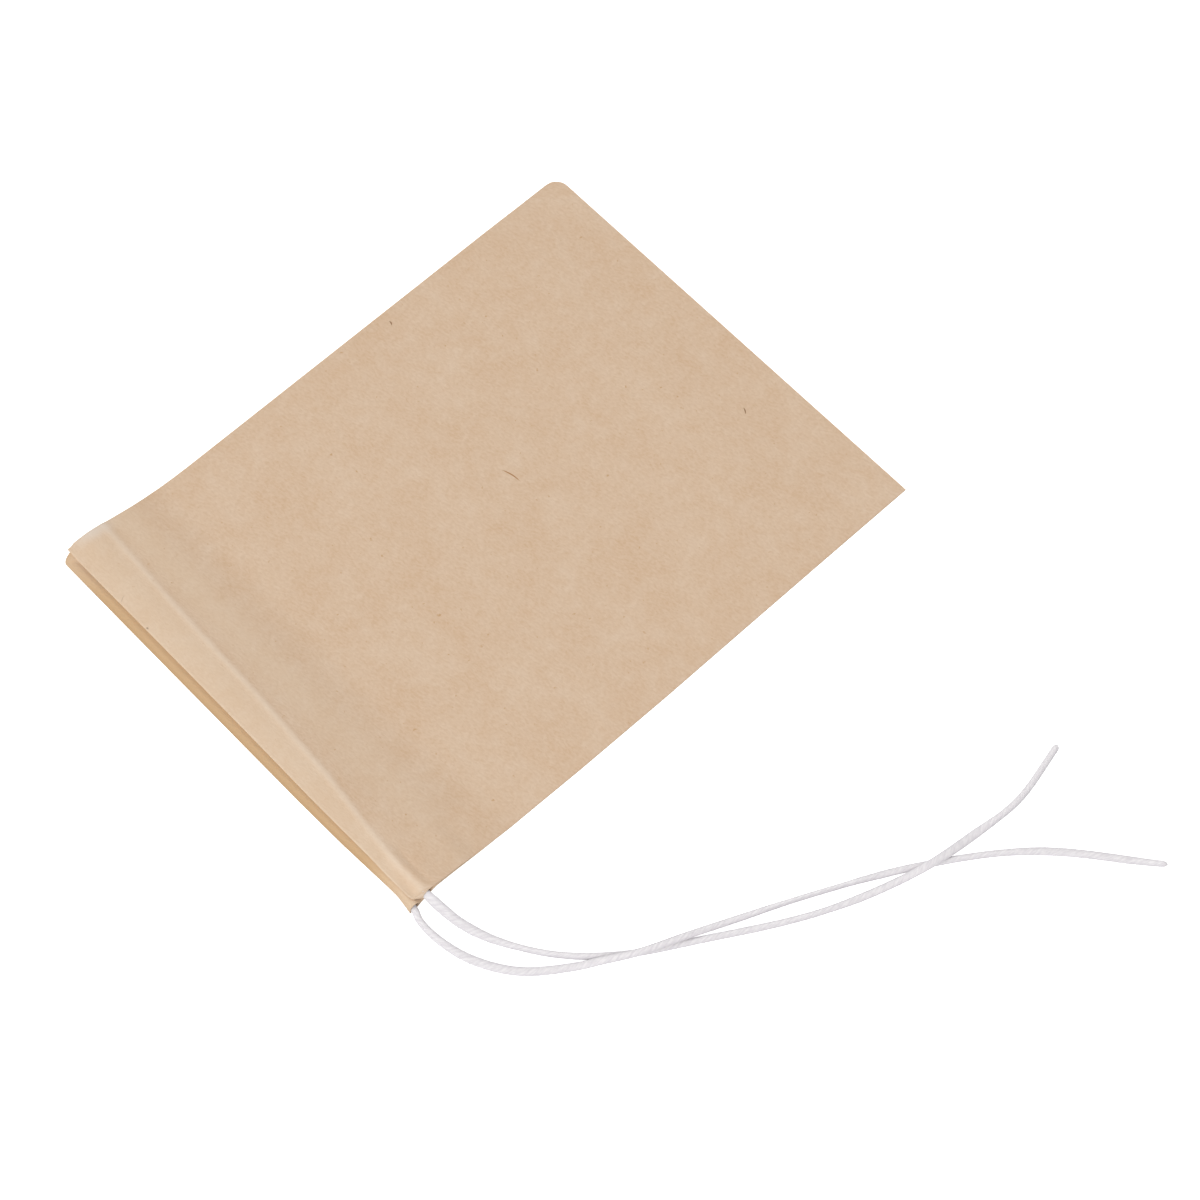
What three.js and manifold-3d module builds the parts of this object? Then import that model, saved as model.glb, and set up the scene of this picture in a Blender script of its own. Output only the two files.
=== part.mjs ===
// Empty tea bag of filter paper with a drawstring, lying flat with its mouth towards -Y.
// Millimetres, +Z up. The sheet is folded at the -X side and welded at the +X side and at the bottom, +Y.
import * as THREE from "three";
import { mergeVertices } from "three/addons/utils/BufferGeometryUtils.js";
import Module from "manifold-3d";

// Sizes of the sheet
const bag_width = 70;
const bag_depth = 90;
const paper = 0.12;
const hem_depth = 11;
const hem_weld = 3;
const side_weld = 5;
const bottom_weld = 5;
const bottom_corner_radius = 2;
const mouth_corner_radius = 1;

// How the empty bag lies
const body_gap = 0.2;
const mouth_height = 3.4;
const exit_height = 2.35;
const rise_start = 17.5;
const rise_end = 2;
const front_setback = 0.65;
const fold_radius = 1.2;
const fold_wall = 0.18;
const weld_lift = 0.6;
const lift_reach = 18;

// The drawstring and the room that the hem leaves it
const cord_diameter = 1;
const cord_clearance = 0.2;
const channel_slack = 0.1;
const channel_slope = 0.15;
const ridge_height = 0.2;
const loop_room = 3.7;
const loop_setback = 1.6;
const mouth_bulge = 0.2;
const bulge_reach = 6;
const rest_gap = 0.03;

// Sizes that follow from those
const bore = cord_diameter + 2 * cord_clearance;
const cord_lie = cord_diameter / 2 + rest_gap;
const channel_depth = hem_depth - hem_weld;
const weld_edge = bag_width - side_weld;
const panel_columns = 12;
const outside = 5;

// The drawstring inside the hem, in plan: distance from the fold, distance from the mouth line
const front_run = [
  [4.2, 6.8],
  [16, 6.05],
  [34, 5.3],
  [49, 4.38],
  [57, 3.48],
  [65, 2.78],
];
const back_run = [
  [4.2, 2.5],
  [33, 1.7],
  [57, 1],
  [65, 0.8],
];
const front_exit = 2.8;
const back_exit = 0.65;

// The turn at the fold: distance from the fold, distance from the mouth line
const fold_loop = [
  [2, 2.95],
  [1.1, 4.65],
  [2, 6.35],
];

// The free ends: distance past the side edge, distance from the mouth line, height
const front_end = [
  [0.8, 2.8, 1.55],
  [3.1, 3.1, 1.15],
  [6.2, 3.7, 0.8],
  [10.6, 5.3, 0.55],
  [17.2, 9.4, cord_lie],
  [23.1, 15.6, cord_lie],
  [28.8, 24.7, cord_lie],
  [36.2, 37.7, cord_lie],
  [40, 47.6, 0.75],
  [41.7, 53.2, 1.65],
  [42.3, 59.9, 0.75],
  [42.8, 67.8, cord_lie],
  [40.8, 77.3, cord_lie],
];
const back_end = [
  [0.5, 0.4, 0.85],
  [1.9, 0, 0.7],
  [5, 0, 0.55],
  [10.2, 1.2, cord_lie],
  [15.8, 4.6, cord_lie],
  [20.5, 10.4, 0.75],
  [22.2, 12.9, 1.35],
  [24.9, 17.4, 1.7],
  [27, 22.7, 1.4],
  [28.8, 27.4, 0.8],
  [34.7, 40.7, cord_lie],
  [40.6, 52.1, cord_lie],
  [49.4, 64.4, cord_lie],
  [62.1, 75.1, cord_lie],
];

const smooth = (t) => THREE.MathUtils.smoothstep(t, 0, 1);
const mix = THREE.MathUtils.lerp;
const wasm = await Module();
wasm.setup();

// How far a rounded corner has drawn back at this distance from its side
function cornerCut(distance, radius) {
  const reach = Math.max(0, radius - distance);
  return radius - Math.sqrt(radius * radius - reach * reach);
}

// The points of a run as far as the side weld
const heldPoints = (run) => run.filter(([from_fold]) => from_fold <= weld_edge);

// The distance from the mouth line at which a run of the drawstring lies
function runAt(run, exit, x) {
  const points = [...heldPoints(run), [bag_width, exit]];
  const next = points.findIndex(([from_fold]) => from_fold >= x);
  if (next < 0) return exit;
  if (next === 0) return points[0][1];
  const [x0, y0] = points[next - 1];
  const [x1, y1] = points[next];
  return mix(y0, y1, (x - x0) / (x1 - x0));
}
const frontRunAt = (x) => runAt(front_run, front_exit, x);
const backRunAt = (x) => runAt(back_run, back_exit, x);

// 1 over the drawstring and 0 beside it, on faces that stand off the channel by the given margin
function overCord(offset, margin) {
  const beside = Math.abs(offset) - bore / 2 - margin;
  return 1 - THREE.MathUtils.clamp(beside / channel_slope, 0, 1);
}
const channelGap = (offset, margin) => mix(channel_slack, bore, overCord(offset, margin));

// The outer face of the back panel: on the table, and lifted by the weld near the mouth corner
function backFace(x, y) {
  const across = smooth((x - bag_width + lift_reach) / lift_reach);
  const along = smooth((y - bore) / bore) * smooth((lift_reach - y) / (lift_reach - 2 * bore));
  return weld_lift * across * along;
}

// The outer face of the front panel: flat at the welds, and rising over the drawstring to the mouth
function frontFace(x, y) {
  const to_side = (bag_width - x) / (3 * side_weld);
  const to_bottom = (bag_depth - y) / (3 * bottom_weld);
  const flat = 2 * paper + body_gap * smooth(Math.min(to_side, to_bottom));
  const top = mix(mouth_height, exit_height, smooth((2 * x) / bag_width - 1));
  const rise = smooth((rise_start - y) / (rise_start - rise_end));
  const ridge = ridge_height * overCord(y - frontRunAt(x), paper);
  return mix(flat + backFace(x, y), top + ridge, rise);
}

// The mouth edges, measured from the mouth line
function backMouth(x) {
  const bulge = mouth_bulge * smooth((x - bag_width + bulge_reach) / bulge_reach);
  return cornerCut(x, mouth_corner_radius) / 2 - bulge;
}
const frontMouth = (x) => front_setback + cornerCut(x, mouth_corner_radius);

// Distances from the mouth line at which the faces have points, closest over the drawstring
function rowsAt(x, run, wall) {
  const steps = [0, paper, channel_slope, paper + channel_slope].sort((a, b) => a - b);
  const far = steps.map((step) => run + bore / 2 + step);
  const near = steps.map((step) => run - bore / 2 - step).reverse();
  const slope = [1, 2, 3].map((quarter) => mix(hem_depth, rise_start, quarter / 4));
  const body = [bag_depth / 3, (2 * bag_depth) / 3, bag_depth - 2 * bottom_weld, bag_depth - bottom_weld];
  const end = bag_depth - cornerCut(x, bottom_corner_radius);
  const mouth = backMouth(x);
  const beyond = mix(far.at(-1), channel_depth, 0.5);
  const rows = [mouth, wall, ...near, ...far, beyond, channel_depth, hem_depth, hem_depth + paper];
  rows.push(...slope, rise_start, ...body, end);
  const least_step = 0.01;
  for (let n = 1; n < rows.length; n += 1) {
    rows[n] = Math.max(rows[n], rows[n - 1] + least_step);
  }
  return rows;
}
const frontRows = (x) => rowsAt(x, frontRunAt(x), frontMouth(x) + paper);
const backRows = (x) => rowsAt(x, backRunAt(x), backMouth(x) + paper);
const row_of_wall = 1;
const row_of_channel = 11;
const row_of_weld = 21;
const row_count = 23;

// A closed mesh as a solid
function solid(geometry) {
  geometry.deleteAttribute("normal");
  geometry.deleteAttribute("uv");
  const merged = mergeVertices(geometry, 1e-5);
  const vertProperties = new Float32Array(merged.getAttribute("position").array);
  const triVerts = new Uint32Array(merged.index.array);
  return new wasm.Manifold(new wasm.Mesh({ numProp: 3, vertProperties, triVerts }));
}

// A box whose grid of points is moved: columns run from the fold, rows from the mouth
function slab(columns, rows, corner) {
  const box = new THREE.BoxGeometry(1, 1, 1, columns - 1, rows - 1, 1);
  const position = box.getAttribute("position");
  for (let n = 0; n < position.count; n += 1) {
    const column = Math.round((position.getX(n) + 0.5) * (columns - 1));
    const row = Math.round((position.getY(n) + 0.5) * (rows - 1));
    const point = corner(column, row, position.getZ(n) > 0);
    position.setXYZ(n, point.x, point.y, point.z);
  }
  return solid(box);
}

// Distances from the fold at which the faces have points, between a start and an end
function columnsBetween(start, end) {
  const columns = Array.from({ length: panel_columns }, (_, n) => (weld_edge * (n + 1)) / panel_columns);
  return [start, ...columns.filter((x) => x > start && x < end), end];
}

// A slab with the fold's round edge at its left, inset from it, and drawn out past the mouth by an overhang
function foldedSlab({ right, last_row, inset, overhang, floorAt, roofAt }) {
  const turns = [25, 55, 90].map(THREE.MathUtils.degToRad);
  const height = turns.map(Math.sin);
  const reach = turns.map((turn) => 1 - Math.cos(turn) / Math.cos(turns[0]));
  const straight = columnsBetween(2 * fold_radius, right);
  const columns = turns.length + straight.length;
  return slab(columns, last_row + 1, (column, row, roof) => {
    const rounding = column < turns.length;
    const plan_x = rounding ? reach[column] * fold_radius : straight[column - turns.length];
    const y = (roof ? frontRows : backRows)(plan_x)[row];
    const middle = frontFace(plan_x, y) / 2;
    const radius = Math.min(fold_radius, middle);
    const x = rounding ? inset + reach[column] * radius : plan_x;
    const face = roof ? roofAt(plan_x, y) : floorAt(plan_x, y);
    const z = rounding ? mix(middle, face, height[column]) : face;
    return new THREE.Vector3(x, row === 0 ? y - overhang : y, z);
  });
}

// The whole outside of the folded sheet
function makeOutside() {
  return foldedSlab({
    right: bag_width,
    last_row: row_count - 1,
    inset: 0,
    overhang: 0,
    floorAt: backFace,
    roofAt: frontFace,
  });
}

// The space between the panels, open at the mouth; the hem's inner layer narrows it there
function makePocket() {
  const hem = (y, run) => (y <= hem_depth ? paper : 0) + (y <= channel_depth ? channelGap(y - run, paper) : 0);
  return foldedSlab({
    right: weld_edge,
    last_row: row_of_weld,
    inset: fold_wall,
    overhang: outside,
    floorAt: (x, y) => backFace(x, y) + paper + hem(y, backRunAt(x)),
    roofAt: (x, y) => frontFace(x, y) - paper - hem(y, frontRunAt(x)),
  });
}

// The block of space at the fold in which the drawstring turns, grown by a wall
function makeLoopBlock(wall) {
  const width = loop_room + wall + outside;
  const low = loop_setback - wall;
  const high = channel_depth - paper + wall;
  const box = new THREE.BoxGeometry(width, high - low, 4 * outside);
  box.translate(width / 2 - outside, (low + high) / 2, 0);
  return solid(box);
}

// The room in the hem at the fold, where the drawstring passes from one panel to the other
function makeLoopRoom() {
  const inside = foldedSlab({
    right: weld_edge,
    last_row: row_of_weld,
    inset: fold_wall,
    overhang: outside,
    floorAt: (x, y) => backFace(x, y) + fold_wall,
    roofAt: (x, y) => frontFace(x, y) - fold_wall,
  });
  return inside.intersect(makeLoopBlock(0));
}

// The hem channel of one panel, from the turn to the side edge
function makeChannel(rowsAtX, runAtX, floorAt, roofAt) {
  const columns = [...columnsBetween(loop_room - paper, bag_width), bag_width + outside];
  const rows = row_of_channel - row_of_wall + 1;
  return slab(columns.length, rows, (column, row, roof) => {
    const x = columns[column];
    const plan_x = Math.min(x, bag_width);
    const y = rowsAtX(plan_x)[row_of_wall + row];
    const gap = channelGap(y - runAtX(plan_x), 0);
    return new THREE.Vector3(x, y, roof ? roofAt(plan_x, y, gap) : floorAt(plan_x, y, gap));
  });
}

// What the front panel's mouth edge stands back from the back panel's
function makeMouthStep() {
  const corner = [0, 0.4, 1].map((share) => share * mouth_corner_radius);
  const columns = [-outside, ...corner, ...columnsBetween(2 * fold_radius, bag_width), bag_width + outside];
  return slab(columns.length, 2, (column, row, roof) => {
    const x = THREE.MathUtils.clamp(columns[column], 0, bag_width);
    const run = backRunAt(x);
    const edge = frontMouth(x);
    const y = row ? edge : -outside;
    const step = 3 * paper + channelGap(Math.max(y, 0) - run, paper);
    return new THREE.Vector3(columns[column], y, roof ? 2 * outside : backFace(x, y) + step);
  });
}

// The centre of each run of the drawstring, in its channel
const front_centre = (x, y) => frontFace(x, y) - paper - bore / 2;
const back_centre = (x, y) => backFace(x, y) + paper + bore / 2;

// The drawstring's route: back free end, back run, turn at the fold, front run, front free end
function cordRoute() {
  const past = ([x, y, z]) => new THREE.Vector3(bag_width + x, y, z);
  const loop = fold_loop.map(([x, y], n) => {
    const share = (n + 1) / (fold_loop.length + 1);
    const low = back_centre(x, back_run[0][1]);
    const high = front_centre(x, front_run[0][1]);
    return new THREE.Vector3(x, y, mix(low, high, share));
  });
  return [
    ...back_end.map(past).reverse(),
    ...heldPoints(back_run).map(([x, y]) => new THREE.Vector3(x, y, back_centre(x, y))).reverse(),
    ...loop,
    ...heldPoints(front_run).map(([x, y]) => new THREE.Vector3(x, y, front_centre(x, y))),
    ...front_end.map(past),
  ];
}

// A curve through points whose steps are shared out between the points, so that tight turns get short ones
class RouteCurve extends THREE.CatmullRomCurve3 {
  getUtoTmapping(share) {
    return share;
  }
}

function makeDrawstring() {
  const extrudePath = new RouteCurve(cordRoute());
  const steps = 2 * (extrudePath.points.length - 1);
  const section = new THREE.Shape(new THREE.EllipseCurve(0, 0, cord_diameter / 2, cord_diameter / 2).getPoints(8));
  return solid(new THREE.ExtrudeGeometry(section, { steps, extrudePath, bevelEnabled: false }));
}

// The folded sheet: its outside, less the pocket and the room for the drawstring
function makePaperBag() {
  const front_channel = makeChannel(
    frontRows,
    frontRunAt,
    (x, y, gap) => frontFace(x, y) - paper - gap,
    (x, y) => frontFace(x, y) - paper,
  );
  const back_channel = makeChannel(
    backRows,
    backRunAt,
    (x, y) => backFace(x, y) + paper,
    (x, y, gap) => backFace(x, y) + paper + gap,
  );
  return makeOutside()
    .subtract(makePocket().subtract(makeLoopBlock(paper)))
    .subtract(makeLoopRoom())
    .subtract(front_channel)
    .subtract(back_channel)
    .subtract(makeMouthStep());
}

function meshOf(name, shape, material) {
  const { vertProperties, triVerts } = shape.getMesh();
  const geometry = new THREE.BufferGeometry();
  geometry.setAttribute("position", new THREE.BufferAttribute(vertProperties, 3));
  geometry.setIndex(new THREE.BufferAttribute(triVerts, 1));
  const mesh = new THREE.Mesh(geometry, material);
  mesh.name = name;
  return mesh;
}

const filter_paper = new THREE.MeshStandardMaterial({ color: 0xd4ba9e, roughness: 0.95, metalness: 0 });
const white_cord = new THREE.MeshStandardMaterial({ color: 0xe8e4e6, roughness: 0.8, metalness: 0 });

// The origin is under the middle of the paper bag, on the table
const tea_bag = new THREE.Group();
tea_bag.add(meshOf("paper_bag", makePaperBag(), filter_paper));
tea_bag.add(meshOf("drawstring", makeDrawstring(), white_cord));
tea_bag.position.set(-bag_width / 2, -(bag_depth - mouth_bulge) / 2, 0);

export default tea_bag;
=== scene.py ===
import math

import bmesh
import bpy
from mathutils import Matrix, Vector, noise


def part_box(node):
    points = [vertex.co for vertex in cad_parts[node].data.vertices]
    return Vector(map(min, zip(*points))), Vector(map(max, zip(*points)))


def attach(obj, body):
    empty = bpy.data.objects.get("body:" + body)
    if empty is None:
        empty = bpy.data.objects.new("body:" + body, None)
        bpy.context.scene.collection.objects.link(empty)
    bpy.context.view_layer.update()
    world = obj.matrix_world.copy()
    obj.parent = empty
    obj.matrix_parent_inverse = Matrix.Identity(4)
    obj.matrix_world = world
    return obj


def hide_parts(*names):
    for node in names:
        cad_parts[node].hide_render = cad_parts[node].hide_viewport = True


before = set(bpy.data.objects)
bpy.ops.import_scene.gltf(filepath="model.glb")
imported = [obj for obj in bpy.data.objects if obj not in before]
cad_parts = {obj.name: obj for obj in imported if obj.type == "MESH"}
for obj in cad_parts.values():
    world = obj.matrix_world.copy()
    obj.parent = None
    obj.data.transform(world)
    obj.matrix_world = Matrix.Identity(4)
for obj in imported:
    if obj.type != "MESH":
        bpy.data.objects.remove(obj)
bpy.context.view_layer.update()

# The view: one camera that looks down on the bag from the side of its welded edge and mouth.
# It is a long lens half a metre away, turned a little about its own axis.
MM = 0.001
camera_place = Vector((209.7, -159.6, 483.9)) * MM
camera_aim = Vector((18.7, 3.7, 0)) * MM
camera_roll = math.radians(-2.65)
camera_lens = 122.35

view = bpy.data.cameras.new("view")
view.lens = camera_lens
view.sensor_width = 36
view.clip_start = 0.01
camera = bpy.data.objects.new("camera", view)
bpy.context.scene.collection.objects.link(camera)
aim_turn = (camera_aim - camera_place).to_track_quat("-Z", "Y").to_matrix().to_4x4()
roll_turn = Matrix.Rotation(camera_roll, 4, "Z")
camera.matrix_world = Matrix.Translation(camera_place) @ aim_turn @ roll_turn
bpy.context.scene.camera = camera
bpy.context.scene.view_settings.view_transform = "Standard"


def linear(hex_colour):
    """An sRGB hex colour as linear red, green, blue and alpha."""
    parts = [int(hex_colour[n:n + 2], 16) / 255 for n in (0, 2, 4)]
    return [p / 12.92 if p <= 0.04045 else ((p + 0.055) / 1.055) ** 2.4 for p in parts] + [1]


def add_node(tree, kind, place, links=None, **settings):
    """Adds a node: settings are its own properties; links are the sockets or values of its inputs,
    by name or number."""
    made = tree.nodes.new(kind)
    made.location = place
    for key, value in settings.items():
        setattr(made, key, value)
    for key, value in (links or {}).items():
        if isinstance(value, bpy.types.NodeSocket):
            tree.links.new(value, made.inputs[key])
        else:
            made.inputs[key].default_value = value
    return made


def new_material(name):
    """An empty node material."""
    made = bpy.data.materials.new(name)
    made.use_nodes = True
    made.node_tree.nodes.clear()
    return made


def smooth(t):
    """0 below 0, 1 above 1, and a smooth rise between."""
    t = min(max(t, 0), 1)
    return t * t * (3 - 2 * t)


def slope(t):
    """The same with a straighter rise."""
    return (min(max(t, 0), 1) + smooth(t)) / 2


def mix(a, b, t):
    """From a to b by the share t."""
    return a + (b - a) * t


# The bag's plan, which the cord and the paper share: x from the fold, y from the mouth line, in mm.
# The sheet rises over the cord at the mouth, and the side weld lifts it near the mouth corner.
bag_low, bag_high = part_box("paper_bag")
bag_width = (bag_high.x - bag_low.x) / MM
bag_depth = 90
mouth_line = bag_high.y / MM - bag_depth
paper = 0.12
hem_depth = 11
channel_depth = 8
side_weld = 5
cord_diameter = 1


def in_frame(x, y, z):
    """A point of the bag's plan, in metres in the part's frame."""
    return Vector((x - bag_width / 2, y + mouth_line, z)) * MM


def along(points, x):
    """Straight lines through a list of (x, y), read at x."""
    for (x0, y0), (x1, y1) in zip(points, points[1:]):
        if x <= x1:
            return mix(y0, y1, max(x - x0, 0) / (x1 - x0))
    return points[-1][1]


# The cord in the hem, in plan: distance from the fold, distance from the mouth line
front_run = [(4.2, 6.8), (6.2, 6.67), (16, 6.05), (34, 5.3), (49, 4.38), (57, 3.48), (65, 2.78)]
back_run = [(4.2, 2.5), (6.2, 2.44), (33, 1.7), (57, 1.05), (65, 1)]
front_exit = 2.8
back_exit = 0.68

# The mouth edges of the two panels: distance from the fold, distance from the mouth line
front_mouth = [(0, 0.85), (20, 0.83), (40, 0.72), (50, 0.68), (60, 0.82), (66, 0.95), (70, 0.95)]
back_mouth = [(0, 0.06), (8, 0.01), (20, -0.04), (41, -0.09), (48, -0.11), (53, -0.06), (57, 0), (62, 0.19),
              (66, 0.34), (67.2, 0.31), (68.3, 0.17), (70, -0.05)]


def front_run_at(x):
    """How far from the mouth line the cord lies in the front panel."""
    return along(front_run + [(bag_width, front_exit)], x)


def back_run_at(x):
    """The same in the back panel."""
    return along(back_run + [(bag_width, back_exit)], x)


# How high the front panel stands at the mouth and at the cord's exit, and where it rises from the body
mouth_height = 3.4
exit_height = 2.35
rise_start = 17.5
rise_length = 15.5
body_gap = 0.2

# The fold stands up a little more near the mouth, most of all where the cord turns inside it
fold_rise = 0.25
fold_reach = 6
crest_rise = 0.25
crest_middle = 5
crest_half_width = 3.5

# The side weld's lift near the mouth corner: how high, and how it starts and ends down the side
weld_lift = 1.8
lift_reach = 18
lift_start = 0.8
lift_length = 3.8
lift_fall = 14

# The ridge over the cord, and the room that the cord has between the hem's layers
ridge_height = 0.1
ridge_width = 1
hem_gap = 0.03
hem_end_slope = 3
channel_half_width = 1.7
room_over_cord = 0.14
room_in_back = 0.1
room_at_back_exit = 0.2
pressed_width = 1.2
round_share = 0.85
narrowest_cord = 0.8


def over_cord(offset, half_width):
    """1 over the cord's middle, falling softly to 0 at half_width beside it."""
    return math.cos(math.pi / 2 * min(abs(offset) / half_width, 1)) ** 2


def toward_weld(x, start):
    """0 to 1 over one weld's width, beginning start mm inside the welded edge."""
    return smooth((x - bag_width + start) / side_weld)


def front_cord_width(x):
    """How wide the cord is in the front hem: the weld at the mouth corner has pressed it flat."""
    return mix(cord_diameter, pressed_width, toward_weld(x, 8))


def cord_height(width):
    """How high a soft cord stands that is this wide."""
    return round_share * cord_diameter ** 2 / max(width, narrowest_cord)


def near_corner(x):
    """0 to 1 over the side weld, where the hem's layers close tight round the cord."""
    return toward_weld(x, 7)


def front_gap(x, y):
    """The space that the cord keeps between the two layers of the front panel's hem."""
    room = cord_height(front_cord_width(x)) + room_over_cord
    return hem_gap + room * over_cord(y - front_run_at(x), channel_half_width)


def back_gap(x, y):
    """The same in the back panel, where the cord fills the hem out to a round mouth edge."""
    edge_round = mix(0.9, 0.6, near_corner(x))
    from_edge = min(max((y - along(back_mouth, x)) / edge_round, 0), 1)
    room = cord_diameter + mix(room_in_back, room_at_back_exit, near_corner(x))
    room *= over_cord(max(y - back_run_at(x), 0), channel_half_width)
    return hem_gap + room * math.sqrt(1 - (1 - from_edge) ** 2)


def back_height(x, y):
    """The underside of the back panel above the table."""
    across = smooth((x - bag_width + lift_reach) / lift_reach)
    down_side = slope((y - lift_start) / lift_length) * slope((lift_reach - y) / lift_fall)
    return weld_lift * across * down_side


def front_height(x, y):
    """The top of the front panel above the table."""
    from_weld = min(bag_width - x, bag_depth - y) / (3 * side_weld)
    flat = 2 * paper + body_gap * smooth(from_weld) + back_height(x, y)
    top = mix(mouth_height, exit_height, smooth(2 * x / bag_width - 1))
    crest = crest_rise * over_cord(y - crest_middle, crest_half_width)
    top += (fold_rise + crest) * smooth(1 - x / fold_reach)
    rise = smooth((rise_start - y) / rise_length)
    ridge = ridge_height * over_cord(y - front_run_at(x), ridge_width) * rise
    in_hem = smooth((hem_depth + 1 - y) / hem_end_slope)
    welded = back_height(x, y) + 2 * paper + (2 * paper + front_gap(x, y) + back_gap(x, y)) * in_hem
    return mix(mix(flat, top, rise) + ridge, welded, toward_weld(x, 9))


# The cord: one white twisted thread, soft and slightly flat, that runs in the hem all the way round.
# Both ends leave the hem at the mouth corner of the welded side and lie loose, cut off bare.
cord_lie = cord_diameter / 2 + 0.03
inside_channel = 3

# Points along each free end: distance past the welded edge, distance from the mouth line, height.
# The back end crosses over the front end near the bag, and the front end over the back end further out.
front_end = [
    (0.8, 2.8, 1.85),
    (3.1, 3.1, 1.3),
    (6.2, 3.7, 0.8),
    (10.6, 5.3, 0.55),
    (17.2, 9.4, cord_lie),
    (23.1, 15.6, cord_lie),
    (28.8, 24.7, cord_lie),
    (36.2, 37.7, cord_lie),
    (40, 47.6, 0.75),
    (41.7, 53.2, 1.65),
    (42.3, 59.9, 0.75),
    (42.8, 67.8, cord_lie),
    (40.8, 77.3, cord_lie),
]
back_end = [
    (0.5, 0.52, 0.68),
    (1.9, 0.05, 0.62),
    (5, 0, 0.55),
    (10.2, 1.2, cord_lie),
    (15.8, 4.6, cord_lie),
    (20.5, 10.4, 0.75),
    (22.2, 12.9, 1.35),
    (24.9, 17.4, 1.7),
    (27, 22.7, 1.4),
    (28.8, 27.4, 0.8),
    (34.7, 40.7, cord_lie),
    (40.6, 52.1, cord_lie),
    (49.4, 64.4, cord_lie),
    (62.4, 75.35, cord_lie),
]

# The cord's turn inside the fold: distance from the fold, distance from the mouth line
fold_loop = [(2, 2.95), (1.1, 4.65), (2, 6.35)]

# How wide the cord looks along each free end: distance from its start in the hem, width across
front_widths = [(0, pressed_width), (3, pressed_width), (5, 1.42), (11, 1.4), (17.5, 0.86), (21, 0.86),
                (30, 1), (48, 1), (54, 0.89), (58, 0.89), (62, 1.12), (70, 1.12), (77, 1.28), (80, 1.28),
                (84, 0.97), (97, 0.92)]
back_widths = [(0, 0.95), (6, 1.02), (14, 1.29), (21, 1.27), (28, 1.15), (40, 1), (50, 0.95), (56, 0.68),
               (64, 0.68), (69, 1.03), (79, 0.93), (85, 0.92), (90, 1.17), (101, 1.12), (106.5, 0.72)]


def run_centre(x, y, front):
    """The cord's centre in the hem of the front or the back panel."""
    if front:
        from_top = paper + room_over_cord + cord_height(front_cord_width(x)) - cord_diameter / 2
        return in_frame(x, y, front_height(x, y) - from_top)
    return in_frame(x, y, back_height(x, y) + paper + room_in_back / 2 + cord_diameter / 2)


def smooth_route(points, step):
    """Points every step or so along one smooth curve through the given points."""
    knots = [0.0]
    for a, b in zip(points, points[1:]):
        knots.append(knots[-1] + math.sqrt((b - a).length))
    ends = [points[0] * 2 - points[1]] + points + [points[-1] * 2 - points[-2]]
    times = [2 * knots[0] - knots[1]] + knots + [2 * knots[-1] - knots[-2]]
    route = []
    for n in range(1, len(ends) - 2):
        p, t = ends[n - 1:n + 3], times[n - 1:n + 3]
        count = max(2, round((p[2] - p[1]).length / step))
        for k in range(count):
            at = mix(t[1], t[2], k / count)
            first = [p[i].lerp(p[i + 1], (at - t[i]) / (t[i + 1] - t[i])) for i in range(3)]
            second = [first[i].lerp(first[i + 1], (at - t[i]) / (t[i + 2] - t[i])) for i in range(2)]
            route.append(second[0].lerp(second[1], (at - t[1]) / (t[2] - t[1])))
    return route + [points[-1]]


def make_cord(name, points, widths, tilts, bare_tip):
    """A soft flattened thread along a route; the strands show as shallow ribs that wind round it."""
    step, sides = 0.2 * MM, 24
    strands, strand_pitch, rib = 4, 1.15 * MM, 0.01
    tip_length, blunt_tip = 0.7 * MM, 0.02
    route = smooth_route(points, step)
    mesh = bmesh.new()
    uv = mesh.loops.layers.uv.new("UVMap")
    rings, reach = [], [0.0]
    for a, b in zip(route, route[1:]):
        reach.append(reach[-1] + (b - a).length)
    for n, centre in enumerate(route):
        heading = (route[min(n + 1, len(route) - 1)] - route[max(n - 1, 0)]).normalized()
        side = heading.cross(Vector((0, 0, 1))).normalized()
        tilt = Matrix.Rotation(math.radians(along(tilts, reach[n] / MM)), 3, heading)
        side = tilt @ side
        up = side.cross(heading)
        width = along(widths, reach[n] / MM) * MM
        height = cord_height(width / MM) * MM
        tip = min((reach[-1] - reach[n]) / tip_length, 1) if bare_tip else 1
        close = math.sqrt(max(1 - (1 - tip) ** 2, blunt_tip))
        drop = (cord_diameter * MM - height) / 2
        ring = []
        for k in range(sides):
            angle = 2 * math.pi * k / sides
            wound = strands * angle - 2 * math.pi * reach[n] / strand_pitch
            bulge = (1 + rib * math.cos(wound)) * close
            across = side * (math.cos(angle) * width / 2 * bulge)
            upward = up * (math.sin(angle) * height / 2 * bulge)
            ring.append(mesh.verts.new(centre - up * drop + across + upward))
        rings.append(ring)
    for n, (low, high) in enumerate(zip(rings, rings[1:])):
        for k in range(sides):
            face = mesh.faces.new([low[k], low[(k + 1) % sides], high[(k + 1) % sides], high[k]])
            face.smooth = True
            turns = [k / sides, (k + 1) / sides, (k + 1) / sides, k / sides]
            for loop, turn, length in zip(face.loops, turns, (n, n, n + 1, n + 1)):
                loop[uv].uv = (reach[length], turn * math.pi * cord_diameter * MM)
    mesh.faces.new(list(reversed(rings[0])))
    mesh.faces.new(rings[-1])
    bmesh.ops.recalc_face_normals(mesh, faces=mesh.faces)
    data = bpy.data.meshes.new(name)
    mesh.to_mesh(data)
    mesh.free()
    made = bpy.data.objects.new(name, data)
    bpy.context.scene.collection.objects.link(made)
    return made, route, reach[-1]


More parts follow.
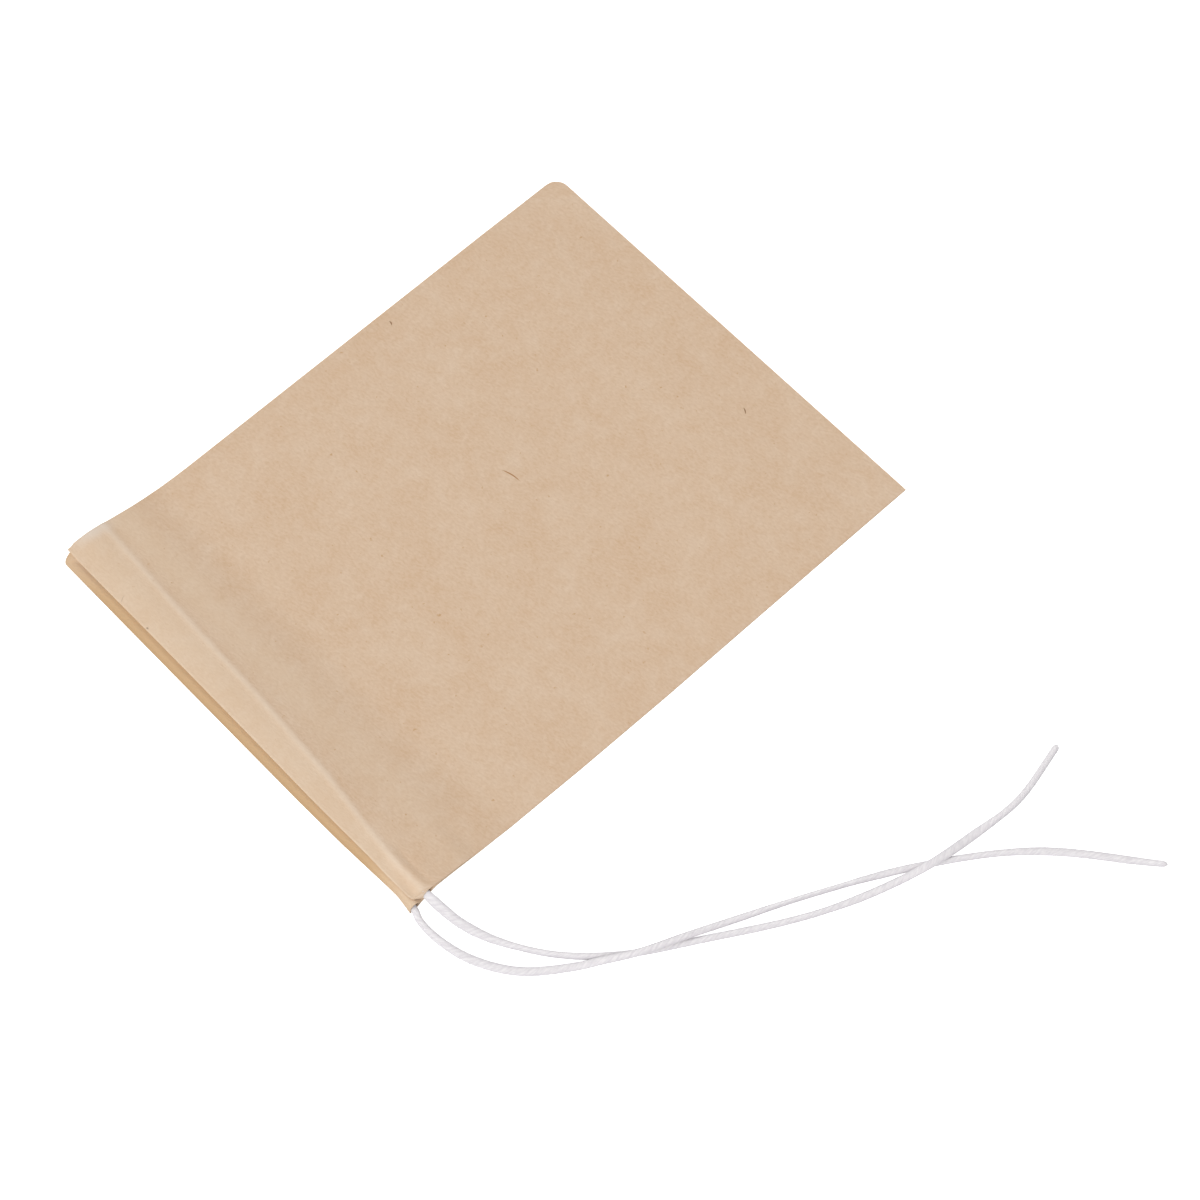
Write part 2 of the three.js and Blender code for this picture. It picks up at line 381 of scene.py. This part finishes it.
# White polyester thread: matt and cool white, with a painted violet-grey shade along its two sides where
# the round cord turns from the light, and fine filaments that wind round it, drawn 0.25 mm apart so that they
# show
thread = new_material("white twisted polyester thread")
tree = thread.node_tree
thread_place = add_node(tree, "ShaderNodeUVMap", (-1100, 0), uv_map="UVMap")
filament_length, filament_gap = 1.2 * MM, 0.25 * MM
filament_turn = math.radians(35)
wound_place = add_node(tree, "ShaderNodeMapping", (-900, 0),
                       {"Vector": thread_place.outputs["UV"], "Rotation": (0, 0, filament_turn),
                        "Scale": (filament_length, filament_gap, 1)}, vector_type="TEXTURE")
filaments = add_node(tree, "ShaderNodeTexNoise", (-700, 0),
                     {"Vector": wound_place.outputs["Vector"], "Scale": 1, "Detail": 2})
filament_tone = add_node(tree, "ShaderNodeMapRange", (-500, 0),
                         {"Value": filaments.outputs["Fac"], "From Min": 0.35, "From Max": 0.65})
thread_colour = add_node(tree, "ShaderNodeMix", (-300, 0), data_type="RGBA")
tree.links.new(filament_tone.outputs["Result"], thread_colour.inputs["Factor"])
thread_colour.inputs["A"].default_value = linear("e0dcdf")
thread_colour.inputs["B"].default_value = linear("eeebec")
# Painted shade: the cord's two sides, by their angle round it, are tinted violet-grey as if turned from the
# light
round_place = add_node(tree, "ShaderNodeSeparateXYZ", (-900, 250), {0: thread_place.outputs["UV"]})
round_turn = add_node(tree, "ShaderNodeMath", (-700, 250),
                      {0: round_place.outputs["Y"], 1: 2 / (cord_diameter * MM)}, operation="MULTIPLY")
beside = add_node(tree, "ShaderNodeMath", (-500, 250), {0: round_turn.outputs["Value"]}, operation="COSINE")
low_side = add_node(tree, "ShaderNodeMath", (-300, 250),
                    {0: beside.outputs["Value"], 1: beside.outputs["Value"]}, operation="MULTIPLY")
painted_side_shade_share = add_node(tree, "ShaderNodeMath", (-100, 250),
                      {0: low_side.outputs["Value"], 1: 0.3}, operation="MULTIPLY")
thread_side_shade = add_node(tree, "ShaderNodeMix", (100, 250), data_type="RGBA")
tree.links.new(painted_side_shade_share.outputs["Value"], thread_side_shade.inputs["Factor"])
tree.links.new(thread_colour.outputs["Result"], thread_side_shade.inputs["A"])
thread_side_shade.inputs["B"].default_value = linear("ccc8d1")
thread_bump = add_node(tree, "ShaderNodeBump", (-300, -250),
                       {"Height": filaments.outputs["Fac"], "Strength": 0.16, "Distance": 0.03 * MM})
thread_finish = add_node(tree, "ShaderNodeBsdfPrincipled", (300, 0),
                         {"Base Color": thread_side_shade.outputs["Result"],
                          "Normal": thread_bump.outputs["Normal"],
                          "Roughness": 0.85, "IOR": 1.5, "Specular IOR Level": 0.3,
                          "Subsurface Weight": 0.5, "Subsurface Radius": (1, 1, 1),
                          "Subsurface Scale": 0.5 * MM})
add_node(tree, "ShaderNodeOutputMaterial", (600, 0), {"Surface": thread_finish.outputs["BSDF"]})


def past_edge(points):
    """A free end's points, given from the bag's welded edge, in the part's frame."""
    return [in_frame(bag_width + x, y, z) for x, y, z in points]


front_start = run_centre(bag_width - inside_channel, front_run_at(bag_width - inside_channel), True)
back_start = run_centre(bag_width - inside_channel, back_run_at(bag_width - inside_channel), False)
loop_low = run_centre(fold_loop[0][0], back_run[0][1], False).z / MM
loop_high = run_centre(fold_loop[0][0], front_run[0][1], True).z / MM
hem_route = [front_start] + [run_centre(x, y, True) for x, y in reversed(front_run)]
for share, (x, y) in zip((0.75, 0.5, 0.25), reversed(fold_loop)):
    hem_route.append(in_frame(x, y, mix(loop_low, loop_high, share)))
hem_route += [run_centre(x, y, False) for x, y in back_run] + [back_start]

# The weld at the mouth corner slopes, and the front end lies tilted in it
weld_tilt = 30
cords = [
    ("drawstring_front_end", [front_start] + past_edge(front_end), front_widths,
     [(0, weld_tilt), (3.2, weld_tilt), (8, 0)], "bare"),
    ("drawstring_back_end", [back_start] + past_edge(back_end), back_widths, [(0, 0), (1, 0)], "bare"),
    ("drawstring_in_hem", hem_route, [(0, pressed_width), (5, cord_diameter), (200, cord_diameter)],
     [(0, -weld_tilt), (4, 0)], "object"),
]
for name, points, widths, tilts, far_end in cords:
    cord, route, length = make_cord(name, points, widths, tilts, far_end == "bare")
    cord.data.materials.append(thread)
    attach(cord, "root")
    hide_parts("drawstring")

# The paper bag: one sheet of unbleached filter paper, with 11 mm turned in along the mouth edge and
# welded into a hem round the cord, then folded in half and welded along the open side and the bottom.
fold_radius = 0.7

# The rounded corners: the front panel's at the fold and at the weld, the back panel's, and the bottom's
front_corner = 0.9
mouth_corner = 1.4
back_corner = 0.4
bottom_corner = 2.2

# The fold between the two mouth corners, and how far it is drawn in where the bag lies flat
corner_spread = 0.14
corner_draw = 0.2
fold_notch = 0.4
flat_draw = 0.18

# The turned in hem: how far it leaves the fold for the cord's turn, and the rounding of the mouth fold
inner_turn = 2.6
inner_slack = 0.05
mouth_round = 0.1
turn_length = 0.35

# How far the shapes of the mouth edge and of the bottom edge reach into the panels
mouth_reach = 9
bottom_reach = 12
bottom_drift = 0.1


def corner_cut(distance, radius):
    """How far a rounded corner has drawn back at this distance from its side."""
    reach = max(0, radius - distance)
    return radius - math.sqrt(max(radius * radius - reach * reach, 0))


# The welded edge: distance from the mouth line, distance from the fold
side_line = [(0, 70.2), (2, 70.15), (4, 70.25), (6, 70.25), (11, 70.2), (15, 70.12), (20, 70.15),
             (30, 70.3), (45, 70.32), (60, 70.16), (75, 70.03), (90, 69.93)]


def fold_line(y, tilt):
    """How far in the fold lies: drawn in where the bag lies flat, and at the mouth the back panel's
    corner (tilt 0) sticks out and the front panel's (tilt 1) is set back."""
    back = -corner_spread * smooth((2.6 - y) / 1.8)
    front = corner_draw * smooth((1.3 - y) / 0.9)
    return flat_draw * smooth((y - 14) / 8) + mix(back, front, tilt)


def cockle(x, y, seed):
    """The slight waves that the paper keeps, larger away from its welds."""
    wave_length, large_wave, small_wave = 17, 0.05, 0.03
    place = Vector((x / wave_length, y / wave_length, seed))
    return large_wave * noise.noise(place) + small_wave * noise.noise(place * 2.3)


def sheet_point(across, down):
    """Where a point of the flat sheet lies: across from the fold, with the front panel positive, and
    down from the mouth fold, with the hem negative."""
    front, hem = across > 0, down < 0
    depth = math.hypot(down, mouth_round) - mouth_round
    flat_x = abs(across)

    def layer_height(x, y, on_front):
        inner = paper + (front_gap if on_front else back_gap)(x, y)
        turned = smooth(0.5 - down / turn_length)
        if on_front:
            return front_height(x, y) - paper / 2 - inner * turned
        return back_height(x, y) + paper / 2 + inner * turned

    turn = across / (math.pi / 2 * fold_radius)
    tilt = (1 + math.sin(max(min(turn, 1), -1) * math.pi / 2)) / 2
    edge = along(side_line, depth)
    front_round = corner_cut(flat_x, front_corner) + corner_cut(bag_width - flat_x, mouth_corner)
    mouth = mix(along(back_mouth, flat_x) + corner_cut(flat_x, back_corner),
                along(front_mouth, flat_x) + front_round, tilt)
    setback = (mouth + fold_notch * 4 * tilt * (1 - tilt)) * (1 - smooth(depth / mouth_reach))
    end = bottom_drift - corner_cut(flat_x, bottom_corner)
    end *= smooth((depth - bag_depth + bottom_reach) / bottom_reach)
    y = depth + setback + end
    inset = fold_line(depth, tilt)
    if hem:
        loop = smooth(depth / 1.8) * smooth((channel_depth + 1 - depth) / 1.5)
        inset += paper + inner_slack + (inner_turn - paper) * loop
    low = layer_height(inset + fold_radius, y, False)
    high = layer_height(inset + fold_radius, y, True)
    radius = min(fold_radius, (high - low) / 2)
    arc = math.pi / 2 * radius
    if flat_x < arc:
        angle = across / arc * math.pi / 2
        x = inset + radius * (1 - math.sqrt(math.cos(angle)))
        z = mix(low, high, (1 + math.copysign(math.sqrt(abs(math.sin(angle))), angle)) / 2)
    else:
        share = (flat_x - arc) / (bag_width - arc)
        x = inset + radius + share * (edge - inset - radius)
        z = layer_height(x, y, front)
        bend = smooth((flat_x - arc) / fold_radius)
        z = mix(high if front else low, z, bend)
        if front:
            z += cockle(x, y, 3) * bend * smooth(min(bag_width - x, bag_depth - depth) / 8)
    return in_frame(x, y, max(z, paper / 2))


def spaced(stops):
    """Values from stop to stop: stops are (value, how many steps lead to it)."""
    values = [stops[0][0]]
    for (start, _), (end, count) in zip(stops, stops[1:]):
        values += [mix(start, end, (n + 1) / count) for n in range(count)]
    return values


def sheet_tones(across, down, y):
    """How much of each change of colour a point of the sheet takes, by the change's name. The
    distances are in mm, and each change fades out softly over a short length."""
    clear_of_fold = smooth(abs(across) / 10)
    clear_of_weld = mix(1, 0.15, smooth((abs(across) - 60) / 8))
    # Painted shade: the turned in layer seen inside the mouth is darkened and tinted, as it lies in shade
    # under the front panel
    hem_shade_share = smooth(0.2 - down / 0.3) * mix(0.2, 1, clear_of_fold) * clear_of_weld
    # Painted shade: the back panel's rounded mouth fold, which faces the light, is darkened like the shade
    # inside the mouth
    rim_shade_share = smooth(1.1 + min(down - 0.1, 0) / 1.3) * smooth(1 - (down - 0.4) / 0.8)
    rim_shade_share *= mix(0.5, 1, clear_of_fold) * clear_of_weld
    # Painted light: the band between the mouth and the cord, which faces the light, is paled, and so is the
    # slope past the ridge, to lift its shade
    lit_band_share = smooth((front_run_at(across) + 0.4 - y) / 0.8)
    lit_slope = over_cord(y - 9.5, 4.5) * mix(1.1, 0.3, abs(across) / bag_width)
    # Painted highlight along the ridge over the cord and along the front panel's mouth edge
    over = over_cord(y - front_run_at(across), 0.75) if across > 0 else 0
    edge = 0.3 * smooth(1 - abs(down - 0.15) / 0.3) * smooth(across / 40)
    return {
        "painted_hem_shade": hem_shade_share,
        "painted_rim_shade": rim_shade_share if across < 0 else 0,
        "painted_band_light": max(lit_band_share, lit_slope),
        "painted_highlight": max(over, edge),
        # Painted sheen on the rounded fold near the mouth, where it catches the light
        "painted_fold_sheen": over_cord(across - 1, 1.7) * over_cord(y - crest_middle, 4.5),
    }


columns = spaced([(-bag_width, 0), (-4, 94), (-1.9, 8), (1.9, 26), (4, 8), (bag_width, 94)])
rows = spaced([(-hem_depth, 0), (-9, 4), (-0.4, 36), (0.4, 10), (rise_start, 62), (bag_depth, 58)])
bpy.ops.object.select_all(action="DESELECT")
bpy.ops.mesh.primitive_grid_add(x_subdivisions=len(columns) - 1, y_subdivisions=len(rows) - 1, size=1)
bag = bpy.context.object
bag.name = bag.data.name = "paper_bag_sheet"
grid_uv = bag.data.uv_layers[0]
grid_uv.name = "UVMap"
place_on_sheet = []
for name in sheet_tones(0, 0, 0):
    bag.data.attributes.new(name, "FLOAT", "POINT")
tone = bag.data.attributes
for vertex in bag.data.vertices:
    column = round((vertex.co.x + 0.5) * (len(columns) - 1))
    row = round((vertex.co.y + 0.5) * (len(rows) - 1))
    across, down = columns[column], rows[row]
    place_on_sheet.append((across, down))
    vertex.co = sheet_point(across, down)
    for name, value in sheet_tones(across, down, vertex.co.y / MM - mouth_line).items():
        tone[name].data[vertex.index].value = value
for loop in bag.data.loops:
    across, down = place_on_sheet[loop.vertex_index]
    grid_uv.data[loop.index].uv = (across * MM, down * MM)

thickness = bag.modifiers.new("thickness", "SOLIDIFY")
thickness.thickness = paper * MM
thickness.offset = 0
bpy.ops.object.modifier_apply(modifier="thickness")
bpy.ops.object.mode_set(mode="EDIT")
bpy.ops.mesh.select_all(action="SELECT")
bpy.ops.mesh.normals_make_consistent(inside=False)
bpy.ops.object.mode_set(mode="OBJECT")
bpy.ops.object.shade_smooth_by_angle(angle=math.radians(50))

# Unbleached filter paper: warm light brown, quite matt, cloudy where its fibres lie thicker,
# with a fine felted grain and a few darker fibres
filter_paper = new_material("unbleached wet laid filter paper")
tree = filter_paper.node_tree
paper_place = add_node(tree, "ShaderNodeUVMap", (-1900, 0), uv_map="UVMap")
fibre_lie = math.radians(10)

# The darker fibres: across from the fold, down from the mouth, turn in degrees, length, width, bend, colour
fibres = [
    (31.4, 52.9, 12, 2.9, 0.18, 1.8, "a97a50"),
    (46.1, 82.8, -28, 1.0, 0.16, 0.9, "876649"),
    (2.1, 57.0, -16, 0.8, 0.18, 1.2, "8d6a4e"),
    (11.3, 0.7, 111, 1.1, 0.12, 1.5, "b59c84"),
    (16.9, 0.3, 15, 0.4, 0.22, 0.9, "6f5240"),
]


def paper_noise(place, size, detail, distortion=0, drawn=1):
    """Noise on the flat sheet, with blotches of about the given size in metres, drawn out along the
    way that its fibres lie."""
    lie = add_node(tree, "ShaderNodeMapping", (place[0] - 200, place[1]),
                   {"Vector": paper_place.outputs["UV"], "Rotation": (0, 0, fibre_lie),
                    "Scale": (size * drawn, size, 1)}, vector_type="TEXTURE")
    return add_node(tree, "ShaderNodeTexNoise", place,
                    {"Vector": lie.outputs["Vector"], "Scale": 1, "Detail": detail, "Distortion": distortion})


def spread(place, source, low, high):
    """A noise's middle values spread over 0 to 1."""
    made = add_node(tree, "ShaderNodeMapRange", place,
                    {"Value": source.outputs["Fac"], "From Min": low, "From Max": high})
    return made.outputs["Result"]


def blend_colour(place, factor, first, second):
    """Two colours mixed by a factor; each is a hex string or a socket."""
    made = add_node(tree, "ShaderNodeMix", place, data_type="RGBA")
    for key, value in (("Factor", factor), ("A", first), ("B", second)):
        if isinstance(value, bpy.types.NodeSocket):
            tree.links.new(value, made.inputs[key])
        else:
            made.inputs[key].default_value = linear(value) if isinstance(value, str) else value
    return made.outputs["Result"]


def fibre(place, across, down, turn, length, width, bend):
    """1 along one curved dark fibre that lies on the sheet, and 0 elsewhere."""
    local = add_node(tree, "ShaderNodeMapping", place,
                     {"Vector": paper_place.outputs["UV"], "Location": (across * MM, down * MM, 0),
                      "Rotation": (0, 0, math.radians(turn)), "Scale": (length * MM / 2, width * MM / 2, 1)},
                     vector_type="TEXTURE")
    parts = add_node(tree, "ShaderNodeSeparateXYZ", (place[0] + 200, place[1]), {0: local.outputs["Vector"]})
    square = add_node(tree, "ShaderNodeMath", (place[0] + 400, place[1]),
                      {0: parts.outputs["X"], 1: parts.outputs["X"]}, operation="MULTIPLY")
    arch = add_node(tree, "ShaderNodeMath", (place[0] + 600, place[1]),
                    {0: square.outputs["Value"], 1: bend, 2: parts.outputs["Y"]}, operation="MULTIPLY_ADD")
    across_it = add_node(tree, "ShaderNodeMath", (place[0] + 800, place[1]),
                         {0: arch.outputs["Value"], 1: arch.outputs["Value"], 2: square.outputs["Value"]},
                         operation="MULTIPLY_ADD")
    return add_node(tree, "ShaderNodeMapRange", (place[0] + 1000, place[1]),
                    {"Value": across_it.outputs["Value"], "From Min": 1.3, "From Max": 0.5}).outputs["Result"]


clouds = spread((-1200, 300), paper_noise((-1400, 300), 7 * MM, 4, 0.5), 0.35, 0.65)
blotches = spread((-1200, 50), paper_noise((-1400, 50), 2 * MM, 5, 0.3), 0.32, 0.68)
grain = spread((-1200, -200), paper_noise((-1400, -200), 0.3 * MM, 3, 0.6, 2), 0.3, 0.7)
flecks = spread((-1200, -450), paper_noise((-1400, -450), 0.9 * MM, 2), 0.7, 0.78)
cloud_colour = blend_colour((-900, 300), clouds, "d1b294", "d9c0a7")
blotch_colour = blend_colour((-900, 50), blotches, "d0b091", "dac2ab")
ground_colour = blend_colour((-650, 200), 0.45, cloud_colour, blotch_colour)
grain_colour = blend_colour((-650, -50), grain, "c5a786", "e0c9b1")
felted_colour = blend_colour((-400, 100), 0.36, ground_colour, grain_colour)
paper_colour = blend_colour((-200, 100), flecks, felted_colour, "c39f7a")
for number, mark in enumerate(fibres):
    seen_fibre = fibre((-2800, 1000 - 300 * number), *mark[:-1])
    paper_colour = blend_colour((0, 1000 - 300 * number), seen_fibre, paper_colour, mark[-1])


def sheet_value(place, name, share):
    """A share of one of the sheet's own attributes."""
    read = add_node(tree, "ShaderNodeAttribute", place, attribute_name=name)
    return add_node(tree, "ShaderNodeMath", (place[0] + 200, place[1]),
                    {0: read.outputs["Fac"], 1: share}, operation="MULTIPLY").outputs["Value"]


# The band between the mouth and the cord lies flat and faces the light, so it is paled with painted light,
# and so is the slope past the ridge, to lift its shade. A painted highlight pales the ridge over the cord and
# the mouth fold, and a painted sheen the fold near the mouth. The layer that is turned in takes painted
# shade, tinted as by the light that the paper passes, and the back panel's mouth fold is a little darker with
# painted shade.
band_light_colour = blend_colour((200, 300), sheet_value((-200, 500), "painted_band_light", 0.28), paper_colour, "ecd6bb")
highlight_colour = blend_colour((400, 300), sheet_value((0, 700), "painted_highlight", 0.3), band_light_colour, "efe0cf")
fold_sheen_colour = blend_colour((600, 300), sheet_value((200, 900), "painted_fold_sheen", 0.52), highlight_colour, "e6dcd2")
hem_shade_colour = blend_colour((800, 300), sheet_value((400, 1100), "painted_hem_shade", 0.8), fold_sheen_colour, "e8c79c")
shown_colour = blend_colour((1000, 300), sheet_value((600, 1300), "painted_rim_shade", 0.85), hem_shade_colour, "c09d74")
paper_relief = add_node(tree, "ShaderNodeBump", (-400, -250),
                        {"Height": grain, "Strength": 0.25, "Distance": 0.04 * MM})
paper_finish = add_node(tree, "ShaderNodeBsdfPrincipled", (1200, 0),
                        {"Base Color": shown_colour, "Normal": paper_relief.outputs["Normal"],
                         "Roughness": 0.9, "IOR": 1.45, "Specular IOR Level": 0.25})
add_node(tree, "ShaderNodeOutputMaterial", (1500, 0), {"Surface": paper_finish.outputs["BSDF"]})
bag.data.materials.append(filter_paper)
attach(bag, "root")
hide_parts("paper_bag")

# The place: a white table and a plain white surround, lit softly from above and from the mouth's side
table_size = 3
bpy.ops.object.select_all(action="DESELECT")
bpy.ops.mesh.primitive_plane_add(size=table_size, location=(0, 0, -0.02 * MM))
table = bpy.context.object
table.name = "table"
white_table = new_material("white seamless table")
tree = white_table.node_tree
seen = add_node(tree, "ShaderNodeLightPath", (-600, 200))
lit = add_node(tree, "ShaderNodeBsdfDiffuse", (-300, 100), {"Color": linear("e6e6e6")})
glow = add_node(tree, "ShaderNodeEmission", (-300, -100), {"Color": (1, 1, 1, 1)})
tree.links.new(seen.outputs["Is Camera Ray"], glow.inputs["Strength"])
table_sum = add_node(tree, "ShaderNodeAddShader", (0, 0),
                     {0: lit.outputs["BSDF"], 1: glow.outputs["Emission"]})
add_node(tree, "ShaderNodeOutputMaterial", (300, 0), {"Surface": table_sum.outputs["Shader"]})
table.data.materials.append(white_table)

surround_strength = 0.55
world = bpy.data.worlds.new("white surround")
world.use_nodes = True
bpy.context.scene.world = world
world.node_tree.nodes["Background"].inputs["Color"].default_value = (1, 1, 1, 1)
world.node_tree.nodes["Background"].inputs["Strength"].default_value = surround_strength


def add_softbox(name, place, aim, size, power):
    """A square softbox that faces its aim."""
    lamp = bpy.data.lights.new(name, "AREA")
    lamp.shape = "SQUARE"
    lamp.size = size
    lamp.energy = power
    made = bpy.data.objects.new(name, lamp)
    turn = (Vector(aim) - Vector(place)).to_track_quat("-Z", "Y").to_matrix().to_4x4()
    made.matrix_world = Matrix.Translation(place) @ turn
    bpy.context.scene.collection.objects.link(made)


add_softbox("key_softbox", (0.3, -1, 0.9), (0, 0, 0), 0.6, 8.5)
add_softbox("fill_softbox", (-0.7, 0.5, 1.2), (0, 0, 0), 1.0, 5.2)
